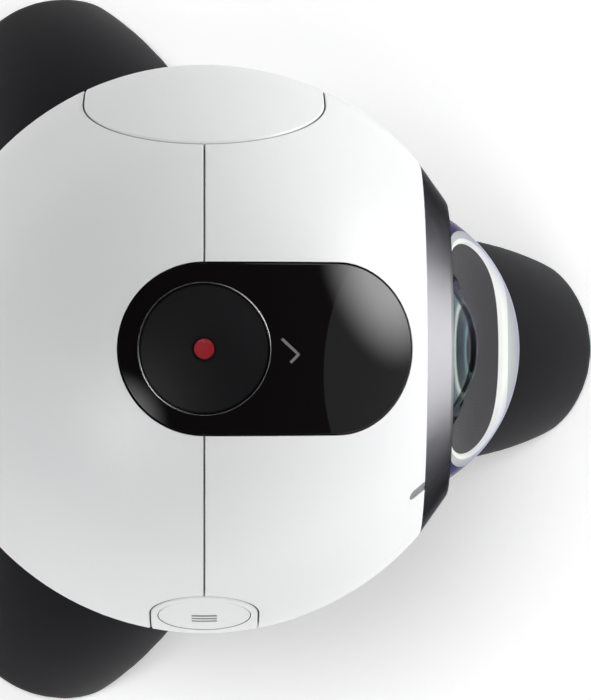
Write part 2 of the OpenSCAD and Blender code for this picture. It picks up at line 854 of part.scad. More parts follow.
front_shell();
rear_shell();
shell_screws();
front_lens_ring();
rear_lens_ring();
front_dome();
rear_dome();
front_baffle();
rear_baffle();
front_lens_group();
rear_lens_group();
front_barrel();
rear_barrel();
front_sensor_board();
rear_sensor_board();
front_image_sensor();
rear_image_sensor();
mic_meshes();
top_window();
display_module();
record_button();
record_dot();
record_switch();
button_carrier();
key_plate();
menu_button();
power_button();
key_switches();
key_boards();
key_bracket();
side_door();
door_seal();
door_strap();
bay_bezel();
battery();
battery_contacts();
inner_frame();
main_board();
usb_socket();
card_socket();
memory_card();
port_boards();
base_plate();
tripod_bush();
tripod_hub();
tripod_screw();
hub_pad();
leg_pins();
leg_front();
leg_left();
leg_right();
foot_front();
foot_left();
foot_right();
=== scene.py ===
import json
import math

import bmesh
import bpy
from mathutils import Matrix, Vector


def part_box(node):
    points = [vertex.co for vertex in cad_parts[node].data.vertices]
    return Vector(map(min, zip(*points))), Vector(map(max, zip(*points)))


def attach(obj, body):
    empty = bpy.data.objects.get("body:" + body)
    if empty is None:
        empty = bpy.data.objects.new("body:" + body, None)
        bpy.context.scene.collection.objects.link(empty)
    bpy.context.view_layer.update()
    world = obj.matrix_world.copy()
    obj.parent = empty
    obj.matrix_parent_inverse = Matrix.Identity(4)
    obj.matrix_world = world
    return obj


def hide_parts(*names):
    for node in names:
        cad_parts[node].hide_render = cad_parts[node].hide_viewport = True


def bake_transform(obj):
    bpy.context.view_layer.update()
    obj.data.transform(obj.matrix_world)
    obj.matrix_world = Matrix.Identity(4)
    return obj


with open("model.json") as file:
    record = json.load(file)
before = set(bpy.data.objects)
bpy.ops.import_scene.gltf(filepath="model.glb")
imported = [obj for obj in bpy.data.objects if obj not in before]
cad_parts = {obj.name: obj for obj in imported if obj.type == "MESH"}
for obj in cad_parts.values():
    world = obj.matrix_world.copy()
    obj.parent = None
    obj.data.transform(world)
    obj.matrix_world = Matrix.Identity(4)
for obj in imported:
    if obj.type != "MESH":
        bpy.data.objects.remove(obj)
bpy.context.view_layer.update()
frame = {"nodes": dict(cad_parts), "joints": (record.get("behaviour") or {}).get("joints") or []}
nodes = frame["nodes"]


# Inner frame, carrier and bracket: the skeleton that everything inside hangs on.
# Glass-filled nylon, moulded in black and left with the fine matt grain of its mould.
MM = 0.001


def finish(name, colour, rough, grain, depth, tone=0.08, metal=0.0):
    """A material with a fine grain of that size and depth in mm, and slow changes of tone and gloss."""
    mat = bpy.data.materials.new(name)
    mat.use_nodes = True
    tree = mat.node_tree
    shader = tree.nodes["Principled BSDF"]
    shader.inputs["Metallic"].default_value = metal
    place = tree.nodes.new("ShaderNodeTexCoord")
    fine = tree.nodes.new("ShaderNodeTexNoise")
    fine.inputs["Scale"].default_value = 1 / (grain * MM)
    fine.inputs["Detail"].default_value = 3
    slow = tree.nodes.new("ShaderNodeTexNoise")
    slow.inputs["Scale"].default_value = 1 / (40 * grain * MM)
    slow.inputs["Detail"].default_value = 4
    bump = tree.nodes.new("ShaderNodeBump")
    bump.inputs["Distance"].default_value = depth * MM
    tint = tree.nodes.new("ShaderNodeMix")
    tint.data_type = "RGBA"
    tint.inputs["A"].default_value = [c * (1 - tone) for c in colour] + [1]
    tint.inputs["B"].default_value = [c * (1 + tone) for c in colour] + [1]
    gloss = tree.nodes.new("ShaderNodeMapRange")
    gloss.inputs["To Min"].default_value = rough * 0.9
    gloss.inputs["To Max"].default_value = rough * 1.1
    link = tree.links.new
    link(place.outputs["Object"], fine.inputs["Vector"])
    link(place.outputs["Object"], slow.inputs["Vector"])
    link(fine.outputs["Fac"], bump.inputs["Height"])
    link(bump.outputs["Normal"], shader.inputs["Normal"])
    link(slow.outputs["Fac"], tint.inputs["Factor"])
    link(tint.outputs["Result"], shader.inputs["Base Color"])
    link(slow.outputs["Fac"], gloss.inputs["Value"])
    link(gloss.outputs["Result"], shader.inputs["Roughness"])
    return mat


def dress(mat, *names):
    """Gives CAD nodes their material."""
    for name in names:
        slots = nodes[name].data.materials
        slots.clear()
        slots.append(mat)


nylon = finish("black_nylon", (0.035, 0.035, 0.038), 0.6, 0.12, 0.006)
dress(nylon, "inner_frame", "button_carrier", "key_bracket")


# Circuit boards: green lacquer over a fibre core, with copper showing through as paler
# lines. They lie on the frame and behind the keys, and are held by clips.
board = finish("green_lacquer", (0.012, 0.10, 0.045), 0.35, 0.3, 0.004, tone=0.15)
trace_pitch = 0.9
tree = board.node_tree
traces = tree.nodes.new("ShaderNodeTexBrick")
traces.inputs["Scale"].default_value = 1 / (trace_pitch * MM)
traces.inputs["Mortar Size"].default_value = 0.07
traces.inputs["Color1"].default_value = (0.012, 0.10, 0.045, 1)
traces.inputs["Color2"].default_value = (0.010, 0.085, 0.040, 1)
traces.inputs["Mortar"].default_value = (0.05, 0.20, 0.08, 1)
spot = tree.nodes["Texture Coordinate"]
tree.links.new(spot.outputs["Object"], traces.inputs["Vector"])
tree.links.new(traces.outputs["Color"], tree.nodes["Principled BSDF"].inputs["Base Color"])
dress(board, "main_board", "key_boards", "port_boards", "front_sensor_board", "rear_sensor_board")


# Chips and display: black moulded packages, and the small panel under the window.
# They are soldered to the boards or held behind the window by a foam tape.
package = finish("chip_black", (0.02, 0.02, 0.024), 0.3, 0.08, 0.002)
dress(package, "front_image_sensor", "rear_image_sensor", "display_module", "memory_card")


# Switches, sockets and screws: stamped and turned steel with a nickel flash.
# The sockets are soldered to the port boards, the screws hold the two shells.
steel = finish("nickel_steel", (0.62, 0.62, 0.63), 0.28, 0.05, 0.001, tone=0.05, metal=1.0)
dress(steel, "shell_screws", "record_switch", "key_switches", "usb_socket", "card_socket")


# Battery and its contacts: a flat cell in a dark printed wrap, which slides into the
# frame from the door side against three gold-plated springs.
wrap = finish("cell_wrap", (0.05, 0.052, 0.058), 0.42, 0.2, 0.003)
gold = finish("gold_plate", (0.83, 0.61, 0.24), 0.22, 0.05, 0.001, tone=0.05, metal=1.0)
dress(wrap, "battery")
dress(gold, "battery_contacts")


# Lens barrels: turned aluminium, anodised black, with fine lathe rings about the axis.
# They are pressed into the frame and carry the sensors at their backs.
ball = Vector((0, 0, (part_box("front_dome")[0].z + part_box("front_dome")[1].z) / 2))


def lathe_rings(mat, pitch, depth):
    """Puts fine rings around the lens axis, as a lathe leaves them, in place of the grain."""
    tree = mat.node_tree
    place = tree.nodes["Texture Coordinate"]
    centre = tree.nodes.new("ShaderNodeMapping")
    centre.inputs["Location"].default_value = -ball
    rings = tree.nodes.new("ShaderNodeTexWave")
    rings.wave_type = "RINGS"
    rings.rings_direction = "Y"
    rings.inputs["Scale"].default_value = 2 * math.pi / (20 * pitch * MM)
    rings.inputs["Distortion"].default_value = 0.4
    tree.links.new(place.outputs["Object"], centre.inputs["Vector"])
    tree.links.new(centre.outputs["Vector"], rings.inputs["Vector"])
    bump = tree.nodes["Bump"]
    bump.inputs["Distance"].default_value = depth * MM
    tree.links.new(rings.outputs["Fac"], bump.inputs["Height"])
    return mat


anodised = lathe_rings(
    finish("black_anodised", (0.02, 0.02, 0.022), 0.35, 0.1, 0.001, metal=0.6), 0.3, 0.01)
dress(anodised, "front_barrel", "rear_barrel")


# Lens backs: what shows through each dome. A violet ring (painted reflection of the coating), a white
# ring (painted light of the bright glow that the dome's edge bends in) and a grey baffle cone lie on
# the back of the glass, with a small coated lens in the middle whose colour rings are painted glints.
# Painted reflection: a violet ring in place of the coating's reflection at the edge of the glass.
violet_coat_reflection = finish("painted_coat_reflection", (0.010, 0.012, 0.075), 0.25, 0.4, 0.001, tone=0.3)
edge_grey = finish("clear_edge", (0.45, 0.465, 0.455), 0.3, 0.4, 0.001, tone=0.2)
# Painted light: a matt white ring in place of the bright glow that the dome's thick edge bends in from
# around it.
white_glow = finish("white_glow_paint", (0.80, 0.81, 0.78), 0.6, 0.08, 0.004, tone=0.03)
baffle_grey = lathe_rings(finish("baffle_grey", (0.03, 0.03, 0.031), 0.5, 0.1, 0.001), 0.6, 0.002)
dull = baffle_grey.node_tree.nodes["Principled BSDF"]
dull.inputs["Specular IOR Level"].default_value = 0.2
eye_blue = lathe_rings(
    finish("eye_painted_glints", (0.05, 0.08, 0.09), 0.04, 0.5, 0.001, metal=0.8), 1.4, 0.004)
zones_r = 5.2
pupil, rim_black = (0.006, 0.007, 0.012), (0.008, 0.009, 0.012)
# Painted glints: from the middle out, a pale teal ring, a pale grey ring and a blue edge between dark
# rings stand in for glints and coating reflections in the inner lens.
glint_stops = [
    (0.30, (0.006, 0.008, 0.012)), (0.34, (0.10, 0.19, 0.20)), (0.42, (0.03, 0.05, 0.06)),
    (0.56, (0.02, 0.035, 0.04)), (0.60, (0.42, 0.47, 0.44)), (0.66, (0.06, 0.12, 0.13)),
    (0.80, (0.05, 0.08, 0.09)), (0.86, (0.04, 0.07, 0.30))]
tree = eye_blue.node_tree
axis = tree.nodes.new("ShaderNodeMapping")
axis.vector_type = "TEXTURE"
axis.inputs["Location"].default_value = ball
axis.inputs["Scale"].default_value = (zones_r * MM, 1, zones_r * MM)
off_axis = tree.nodes.new("ShaderNodeVectorMath")
off_axis.operation = "LENGTH"
glint_rings = tree.nodes.new("ShaderNodeValToRGB")
glint_rings.color_ramp.elements[0].color = (*pupil, 1)
glint_rings.color_ramp.elements[1].position = 0.92
glint_rings.color_ramp.elements[1].color = (*rim_black, 1)
for at, colour in glint_stops:
    glint_rings.color_ramp.elements.new(at).color = (*colour, 1)
tree.links.new(tree.nodes["Texture Coordinate"].outputs["Object"], axis.inputs["Vector"])
tree.links.new(axis.outputs["Vector"], off_axis.inputs[0])
tree.links.new(off_axis.outputs["Value"], glint_rings.inputs["Fac"])
tree.links.new(glint_rings.outputs["Color"], tree.nodes["Principled BSDF"].inputs["Base Color"])


def turned(name, profile, way, mat, slot, *stands_for):
    """Spins a profile of (along, radius) in mm about the lens axis, way -1 for front or 1 for rear."""
    bm = bmesh.new()
    verts = [bm.verts.new((0, way * along * MM, radius * MM)) for along, radius in profile]
    edges = [bm.edges.new(pair) for pair in zip(verts, verts[1:])]
    bmesh.ops.spin(
        bm, geom=verts + edges, axis=(0, 1, 0), angle=2 * math.pi, steps=128, use_merge=True)
    bmesh.ops.remove_doubles(bm, verts=bm.verts, dist=0.001 * MM)
    bmesh.ops.recalc_face_normals(bm, faces=bm.faces)
    bmesh.ops.translate(bm, vec=ball, verts=bm.verts)
    for face in bm.faces:
        face.smooth = True
    mesh = bpy.data.meshes.new(name)
    bm.to_mesh(mesh)
    bm.free()
    mesh.set_sharp_from_angle(angle=math.radians(25))
    mesh.materials.append(mat)
    piece = bpy.data.objects.new(name, mesh)
    bpy.context.scene.collection.objects.link(piece)
    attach(piece, "camera")
    if stands_for:
        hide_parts(*stands_for)
    return piece


def arc(centre, radius, first, last, count):
    """Points on a circle about the lens axis, by angle from the axis in degrees."""
    turns = [math.radians(first + (last - first) * i / count) for i in range(count + 1)]
    return [(centre + radius * math.cos(t), radius * math.sin(t)) for t in turns]


back_at, back_t = 23.5, 0.4
edge_r, violet_r, white_r, grey_r, eye_r = 13.8, 8.5, 7.78, 7.3, 5.1
eye_back = 20.6
for end, way in (("front", -1), ("rear", 1)):
    behind = back_at - back_t
    rim = [(behind, violet_r), (back_at, violet_r), (back_at, edge_r), (behind, edge_r)]
    # The violet ring of painted reflection.
    turned(end + "_painted_coat_reflection", rim + rim[:1], way, violet_coat_reflection, "dome_glass")
    band = [(behind, white_r), (back_at, white_r), (back_at, violet_r), (behind, violet_r)]
    turned(end + "_clear_band", band + band[:1], way, edge_grey, "dome_glass")
    # The white ring of painted light, just behind the back of the glass.
    glow_ring_profile = [(behind, grey_r), (back_at - 0.1, grey_r), (back_at + 0.02, grey_r + 0.2)]
    glow_ring_profile += [(back_at + 0.02, white_r), (behind, white_r)]
    turned(end + "_white_glow_ring", glow_ring_profile + glow_ring_profile[:1], way, white_glow, "dome_glass")
    cone = [(behind, grey_r), (back_at - 0.05, grey_r), (back_at - 0.8, eye_r), (back_at - 1.2, eye_r)]
    turned(end + "_baffle_cone", cone + cone[:1], way, baffle_grey, "baffle_grey", end + "_baffle")
    lens = [(eye_back, 0), (eye_back, eye_r), (22.5, eye_r), (22.8, 4.9), (22.4, 4.65)]
    lens += arc(18.3, 6.2, 48, 0, 16)
    turned(end + "_eye", lens, way, eye_blue, "dome_glass", end + "_lens_group")


# Domes: thick polished glass under a thin coating, with its colour painted violet towards a slant as a
# painted reflection of that coating.
# Each is cemented into its ring, and lets the light through to the parts behind it.
def coated_glass(name, ior, face, painted_slant_tint, film):
    """Clear glass under a coating in nm, with its colour painted from one tint to another towards
    grazing view, a painted reflection.
    """
    mat = bpy.data.materials.new(name)
    mat.use_nodes = True
    tree = mat.node_tree
    shader = tree.nodes["Principled BSDF"]
    shader.inputs["Transmission Weight"].default_value = 1
    shader.inputs["IOR"].default_value = ior
    shader.inputs["Thin Film Thickness"].default_value = film
    shader.inputs["Thin Film IOR"].default_value = 1.38
    shader.inputs["Specular Tint"].default_value = (0.12, 0.125, 0.2, 1)
    # Painted reflection: the glass colour turns violet towards grazing view, in place of the coating's
    # reflection.
    edge = tree.nodes.new("ShaderNodeLayerWeight")
    edge.inputs["Blend"].default_value = 0.35
    tint = tree.nodes.new("ShaderNodeMix")
    tint.data_type = "RGBA"
    tint.inputs["A"].default_value = (*face, 1)
    tint.inputs["B"].default_value = (*painted_slant_tint, 1)
    place = tree.nodes.new("ShaderNodeTexCoord")
    haze = tree.nodes.new("ShaderNodeTexNoise")
    haze.inputs["Scale"].default_value = 1 / (3 * MM)
    wipe = tree.nodes.new("ShaderNodeMapRange")
    wipe.inputs["To Min"].default_value = 0.0
    wipe.inputs["To Max"].default_value = 0.02
    painted_slant_fade = tree.nodes.new("ShaderNodeMapRange")
    painted_slant_fade.inputs["From Min"].default_value = 0.5
    painted_slant_fade.inputs["From Max"].default_value = 0.8
    link = tree.links.new
    link(edge.outputs["Facing"], painted_slant_fade.inputs["Value"])
    link(painted_slant_fade.outputs["Result"], tint.inputs["Factor"])
    link(tint.outputs["Result"], shader.inputs["Base Color"])
    link(place.outputs["Object"], haze.inputs["Vector"])
    link(haze.outputs["Fac"], wipe.inputs["Value"])
    link(wipe.outputs["Result"], shader.inputs["Roughness"])
    return mat


dome_glass = coated_glass("dome_glass", 1.6, (0.98, 0.99, 0.98), (0.10, 0.11, 0.34), 110)
dome_mid, dome_r = 16.95, 16.4
rim_r, seat_at = 13.96, 20.2
rim_turn = math.degrees(math.asin(rim_r / dome_r))
for end, way in (("front", -1), ("rear", 1)):
    dome = arc(dome_mid, dome_r, 0, rim_turn, 48) + [(seat_at, rim_r), (seat_at, 0)]
    glass = turned(end + "_glass", dome, way, dome_glass, "dome_glass", end + "_dome")
    glass.visible_shadow = False


# Lens rings: turned aluminium, blasted and anodised gunmetal, pressed into each shell's
# rim. Fine lathe rings run around the cone.
gunmetal = lathe_rings(
    finish("gunmetal", (0.13, 0.13, 0.135), 0.30, 0.06, 0.001, tone=0.06, metal=1.0), 0.12, 0.0015)
blasted = gunmetal.node_tree.nodes["Principled BSDF"]
blasted.inputs["Specular Tint"].default_value = (0.12, 0.12, 0.13, 1)
dress(gunmetal, "front_lens_ring", "rear_lens_ring")


# Shells, key plate, door and base: white moulded polycarbonate with a satin skin.
# The two shells meet in a fine line over the top and are screwed together from behind.
ball_mm = 30
ball_r = ball_mm * MM
groove = 0.35
white = finish("white_satin", (0.84, 0.845, 0.85), 0.34, 0.25, 0.0012, tone=0.008)
tree = white.node_tree
# Painted shade: the white turns dark grey in the grooves between parts, by how hidden each spot is
# within the groove distance, where shade falls.
groove_occlusion = tree.nodes.new("ShaderNodeAmbientOcclusion")
groove_occlusion.samples = 6
groove_occlusion.inputs["Distance"].default_value = groove * MM
groove_shade = tree.nodes.new("ShaderNodeMix")
groove_shade.data_type = "RGBA"
groove_shade.inputs["A"].default_value = (0.10, 0.10, 0.105, 1)
skin = tree.nodes["Principled BSDF"].inputs["Base Color"]
tree.links.new(skin.links[0].from_socket, groove_shade.inputs["B"])
depth = tree.nodes.new("ShaderNodeMapRange")
depth.inputs["From Min"].default_value = 0.25
depth.inputs["From Max"].default_value = 0.8
tree.links.new(groove_occlusion.outputs["AO"], depth.inputs["Value"])
tree.links.new(depth.outputs["Result"], groove_shade.inputs["Factor"])
tree.links.new(groove_shade.outputs["Result"], skin)
dress(white, "base_plate", "key_plate", "menu_button", "power_button", "side_door")


def softened(node, mat, width, body="camera"):
    """A copy of a piece of the ball with rounded outer edges, shaded as a true sphere outside."""
    bm = bmesh.new()
    bm.from_mesh(nodes[node].data)
    bmesh.ops.remove_doubles(bm, verts=bm.verts, dist=0.004 * MM)
    bmesh.ops.dissolve_degenerate(bm, dist=0.01 * MM, edges=bm.edges)
    outer = ball_r - 0.02 * MM
    sharp = math.radians(60)
    edges = [
        e for e in bm.edges if len(e.link_faces) == 2 and e.calc_face_angle(0) > sharp
        and all((v.co - ball).length > outer for v in e.verts)]
    bmesh.ops.bevel(
        bm, geom=edges, offset=width * MM, offset_type="OFFSET", segments=3, profile=0.5,
        affect="EDGES", clamp_overlap=True, material=-1)
    mesh = bpy.data.meshes.new("soft_" + node)
    bm.to_mesh(mesh)
    bm.free()
    normals = []
    for face in mesh.polygons:
        for index in face.vertices:
            arm = mesh.vertices[index].co - ball
            normals.append(arm.normalized() if arm.length > outer else face.normal)
    mesh.polygons.foreach_set("use_smooth", [True] * len(mesh.polygons))
    mesh.normals_split_custom_set(normals)
    mesh.materials.append(mat)
    piece = bpy.data.objects.new("soft_" + node, mesh)
    bpy.context.scene.collection.objects.link(piece)
    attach(piece, body)
    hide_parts(node)
    return piece


softened("front_shell", white, 0.14)
softened("rear_shell", white, 0.14)


# Microphone slots: a dark plastic insert behind a pill-shaped slot beside each lens ring.
# It is glued in from the inside.
mic_grey = finish("mic_grey", (0.22, 0.22, 0.23), 0.5, 0.1, 0.01)
dress(mic_grey, "mic_meshes")


# Top window: one piece of gloss black acrylic, flush with the ball, over the record key
# and the display. It is cemented to the front shell.
gloss_black = finish("gloss_black", (0.0050, 0.0042, 0.0044), 0.035, 2.0, 0.0004, tone=0.2)
softened("top_window", gloss_black, 0.25)


# Tick on the window: a plain confirm sign printed in grey beside the record key.
# It lies on the acrylic as a film of ink.
ink = finish("grey_ink", (0.16, 0.16, 0.165), 0.5, 0.05, 0.001)
film = 0.05


def bar(bm, length, width, angle, x, y):
    """A flat bar of ink in a plane, subdivided so that it can follow the ball."""
    made = bmesh.ops.create_grid(bm, x_segments=10, y_segments=3, size=0.5)
    turn = Matrix.Rotation(angle, 4, "Z")
    lay = Matrix.Translation((x, y, 0)) @ turn @ Matrix.Diagonal((length, width, 1, 1))
    bmesh.ops.transform(bm, matrix=lay, verts=made["verts"])


def printed(name, bm, turn, radius, body):
    """Lays flat marks on the ball at that turn, as a film of ink that rides on a body."""
    bmesh.ops.transform(bm, matrix=Matrix.Translation((0, 0, radius)), verts=bm.verts)
    bmesh.ops.transform(bm, matrix=turn, verts=bm.verts)
    for vert in bm.verts:
        vert.co = vert.co.normalized() * (radius + film / 2 * MM)
    bmesh.ops.recalc_face_normals(bm, faces=bm.faces)
    bmesh.ops.solidify(bm, geom=bm.faces[:], thickness=film * MM)
    bmesh.ops.recalc_face_normals(bm, faces=bm.faces)
    bmesh.ops.translate(bm, vec=ball, verts=bm.verts)
    mesh = bpy.data.meshes.new(name)
    bm.to_mesh(mesh)
    bm.free()
    mesh.materials.append(ink)
    piece = bpy.data.objects.new(name, mesh)
    bpy.context.scene.collection.objects.link(piece)
    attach(piece, body)
    return piece


tick_at = math.asin(8.75 * MM / ball_r)
tick_w = 0.28 * MM
bm = bmesh.new()
bar(bm, 1.2 * MM, tick_w, math.radians(-45), -0.95 * MM, -0.25 * MM)
bar(bm, 2.4 * MM, tick_w, math.radians(48), 0.2 * MM, 0.2 * MM)
printed("window_tick", bm, Matrix.Rotation(tick_at, 4, "X"), ball_r, "camera")


# Record key: a satin black disc with a red inlay, in a round hole of the window with a
# bright-cut wire around it. The key rests on a switch and moves straight down.
key_black = finish("key_satin", (0.006, 0.006, 0.007), 0.42, 0.15, 0.001, tone=0.2)
inlay_red = finish("inlay_red", (0.30, 0.010, 0.016), 0.28, 0.15, 0.001)
dress(key_black, "record_button")
dress(inlay_red, "record_dot")
bright_cut = finish("bright_cut", (0.55, 0.55, 0.56), 0.18, 0.05, 0.001, tone=0.05, metal=1.0)
trim_r, trim_t = 6.56, 0.075
trim_z = math.sqrt(ball_mm ** 2 - trim_r ** 2) - 0.02
bm = bmesh.new()
spots = [math.radians(60 * i) for i in range(6)]
wire = [(trim_r + trim_t * math.cos(t), trim_z + trim_t * math.sin(t)) for t in spots]
ring = [bm.verts.new((out * MM, 0, up * MM)) for out, up in wire]
edges = [bm.edges.new((ring[i], ring[i - 1])) for i in range(len(ring))]
bmesh.ops.spin(bm, geom=ring + edges, axis=(0, 0, 1), angle=2 * math.pi, steps=160, use_merge=True)
bmesh.ops.recalc_face_normals(bm, faces=bm.faces)
bmesh.ops.translate(bm, vec=ball, verts=bm.verts)
for face in bm.faces:
    face.smooth = True
mesh = bpy.data.meshes.new("record_trim")
bm.to_mesh(mesh)
bm.free()
mesh.materials.append(bright_cut)
trim = bpy.data.objects.new("record_trim", mesh)
bpy.context.scene.collection.objects.link(trim)
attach(trim, "camera")


# Key marks: three plain bars on the upper key and a plain power sign on the lower one.
# Both are printed in grey on the white keys.
key_r = ball_r - 0.05 * MM
key_turn = math.radians(90 - 21.5)
bm = bmesh.new()
for step in (-1, 0, 1):
    bar(bm, 2.6 * MM, 0.34 * MM, math.radians(90), step * 0.85 * MM, 0)
printed("menu_bars", bm, Matrix.Rotation(-key_turn, 4, "Y"), key_r, "menu_key")

bm = bmesh.new()
rim = [bm.verts.new((1.05 * MM, 0, 0)), bm.verts.new((1.37 * MM, 0, 0))]
edge = bm.edges.new(rim)
bmesh.ops.spin(bm, geom=[*rim, edge], axis=(0, 0, 1), angle=math.radians(290), steps=36)
bmesh.ops.rotate(bm, verts=bm.verts, matrix=Matrix.Rotation(math.radians(35), 3, "Z"))
bar(bm, 1.3 * MM, 0.32 * MM, 0, 0.95 * MM, 0)
power_turn = -math.radians(180) + key_turn
printed("power_sign", bm, Matrix.Rotation(power_turn, 4, "Y"), key_r, "power_key")


# Door seal, strap and bay: a soft black ring around the door's rib, a dark moulded bay behind it,
# and the strap that keeps the door, copied and cut into finer faces.
rubber = finish("black_rubber", (0.02, 0.02, 0.021), 0.62, 0.15, 0.006)
dress(rubber, "door_seal")
dress(nylon, "bay_bezel")
strap = bpy.data.objects.new("soft_strap", nodes["door_strap"].data.copy())
bpy.context.scene.collection.objects.link(strap)
bm = bmesh.new()
bm.from_mesh(strap.data)
bmesh.ops.remove_doubles(bm, verts=bm.verts, dist=0.001 * MM)
bmesh.ops.subdivide_edges(bm, edges=bm.edges[:], cuts=4, use_grid_fill=True)
bm.to_mesh(strap.data)
bm.free()
strap.data.materials.clear()
strap.data.materials.append(rubber)
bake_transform(strap)
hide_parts("door_strap")


# Thread, screw and pins: turned steel. A bush in the flat base plate takes the stand's
# screw, and three pins carry the legs.
dress(steel, "tripod_bush", "tripod_screw", "leg_pins")


# Hub of the stand: moulded plastic with a soft-touch skin, a rubber pad on top and three
# pairs of ears. The screw runs through it into the camera.
stand_black = finish("soft_touch", (0.007, 0.007, 0.009), 0.42, 0.18, 0.003, tone=0.12)
skin = stand_black.node_tree.nodes["Principled BSDF"]
skin.inputs["Specular IOR Level"].default_value = 0.05
dress(stand_black, "tripod_hub")
dress(rubber, "hub_pad")


# Legs and feet: hollow mouldings with a soft-touch skin and rounded edges, each with a
# rubber strip where it meets the table. A leg turns on its pin between two ears.
voxel = 0.3
foot_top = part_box("foot_front")[1].z
hinges = {j["child"]: Vector(j["pos_m"]) for j in frame["joints"] if "leg" in j["name"]}
smoothing = ((3.5, 6), (6, 10), (9, 24))


def rounded(leg, foot, body):
    """A leg with its foot as one rounded form, cut apart at the top of the foot."""
    bm = bmesh.new()
    bm.from_mesh(nodes[leg].data)
    bm.from_mesh(nodes[foot].data)
    bmesh.ops.remove_doubles(bm, verts=bm.verts, dist=0.001 * MM)
    mesh = bpy.data.meshes.new("soft_" + leg)
    bm.to_mesh(mesh)
    bm.free()
    form = bpy.data.objects.new("soft_" + leg, mesh)
    bpy.context.scene.collection.objects.link(form)
    remesh = form.modifiers.new("skin", "REMESH")
    remesh.mode = "VOXEL"
    remesh.voxel_size = voxel * MM
    bpy.context.view_layer.update()
    graph = bpy.context.evaluated_depsgraph_get()
    skin = bpy.data.meshes.new_from_object(form.evaluated_get(graph))
    form.modifiers.clear()
    bm = bmesh.new()
    bm.from_mesh(skin)
    for beyond, passes in smoothing:
        far = [v for v in bm.verts if (v.co - hinges[body]).length > beyond * MM]
        for _ in range(passes):
            bmesh.ops.smooth_vert(
                bm, verts=far, factor=0.5, use_axis_x=True, use_axis_y=True, use_axis_z=True)
    for face in bm.faces:
        face.smooth = True
    for name, node, keep_above in (("soft_" + leg, leg, True), ("soft_" + foot, foot, False)):
        half = bm.copy()
        cut = bmesh.ops.bisect_plane(
            half, geom=half.verts[:] + half.edges[:] + half.faces[:], plane_co=(0, 0, foot_top),
            plane_no=(0, 0, 1), clear_inner=keep_above, clear_outer=not keep_above)
        rim = [e for e in cut["geom_cut"] if isinstance(e, bmesh.types.BMEdge)]
        bmesh.ops.holes_fill(half, edges=rim)
        bmesh.ops.recalc_face_normals(half, faces=half.faces)
        if keep_above:
            piece = form
        else:
            piece = bpy.data.objects.new(name, bpy.data.meshes.new(name))
            bpy.context.scene.collection.objects.link(piece)
        half.to_mesh(piece.data)
        half.free()
        piece.data.materials.clear()
        piece.data.materials.append(stand_black if keep_above else rubber)
        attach(piece, body)
        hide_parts(node)
    bm.free()


for side in ("front", "left", "right"):
    rounded("leg_" + side, "foot_" + side, side + "_leg")


# Floor and surround: a white paper sweep. It is lifted a little for the eye, glass and
# metal, turns full white far off, and keeps the soft shadow of the object.
floor_r, floor_lift = 4, 0.28
near, far_off = 0.12, 0.6


def either(tree, first, second):
    """The larger of two values."""
    most = tree.nodes.new("ShaderNodeMath")
    most.operation = "MAXIMUM"
    tree.links.new(first, most.inputs[0])
    tree.links.new(second, most.inputs[1])
    return most.outputs[0]


bm = bmesh.new()
bmesh.ops.create_circle(bm, cap_ends=True, radius=floor_r, segments=96)
floor_mesh = bpy.data.meshes.new("floor")
bm.to_mesh(floor_mesh)
bm.free()
floor = bpy.data.objects.new("floor", floor_mesh)
bpy.context.scene.collection.objects.link(floor)
paper = bpy.data.materials.new("white_paper")
paper.use_nodes = True
tree = paper.node_tree
tree.nodes.clear()
matt = tree.nodes.new("ShaderNodeBsdfDiffuse")
matt.inputs["Color"].default_value = (0.98, 0.98, 0.98, 1)
lift = tree.nodes.new("ShaderNodeEmission")
amount = tree.nodes.new("ShaderNodeMath")
amount.operation = "MULTIPLY"
place = tree.nodes.new("ShaderNodeTexCoord")
away = tree.nodes.new("ShaderNodeVectorMath")
away.operation = "LENGTH"
far = tree.nodes.new("ShaderNodeMapRange")
far.inputs["From Min"].default_value = near
far.inputs["From Max"].default_value = far_off
far.inputs["To Min"].default_value = floor_lift
far.inputs["To Max"].default_value = 1.0
tree.links.new(place.outputs["Object"], away.inputs[0])
tree.links.new(away.outputs["Value"], far.inputs["Value"])
tree.links.new(far.outputs["Result"], amount.inputs[1])
both = tree.nodes.new("ShaderNodeAddShader")
out = tree.nodes.new("ShaderNodeOutputMaterial")
path = tree.nodes.new("ShaderNodeLightPath")
mirrored = either(tree, path.outputs["Is Glossy Ray"], path.outputs["Is Transmission Ray"])
tree.links.new(either(tree, path.outputs["Is Camera Ray"], mirrored), amount.inputs[0])
tree.links.new(amount.outputs[0], lift.inputs["Strength"])
tree.links.new(matt.outputs[0], both.inputs[0])
tree.links.new(lift.outputs[0], both.inputs[1])
tree.links.new(both.outputs[0], out.inputs["Surface"])
floor_mesh.materials.append(paper)

sky_fill, sky_dim = 0.03, 0.12
bright_to, dim_from = math.radians(2), math.radians(22)
world = bpy.data.worlds.new("surround")
bpy.context.scene.world = world
world.use_nodes = True
tree = world.node_tree
sky = tree.nodes["Background"]
way = tree.nodes.new("ShaderNodeTexCoord")
split = tree.nodes.new("ShaderNodeSeparateXYZ")
height = tree.nodes.new("ShaderNodeMapRange")
height.inputs["From Min"].default_value = math.sin(bright_to)
height.inputs["From Max"].default_value = math.sin(dim_from)
height.inputs["To Min"].default_value = 1.0
height.inputs["To Max"].default_value = sky_dim
path = tree.nodes.new("ShaderNodeLightPath")
mirrored = either(tree, path.outputs["Is Glossy Ray"], path.outputs["Is Transmission Ray"])
shown = tree.nodes.new("ShaderNodeMix")
shown.inputs["A"].default_value = sky_fill
seen = tree.nodes.new("ShaderNodeMix")
seen.inputs["B"].default_value = 1.0
tree.links.new(way.outputs["Generated"], split.inputs[0])
tree.links.new(split.outputs["Z"], height.inputs["Value"])
tree.links.new(mirrored, shown.inputs["Factor"])
tree.links.new(height.outputs["Result"], shown.inputs["B"])
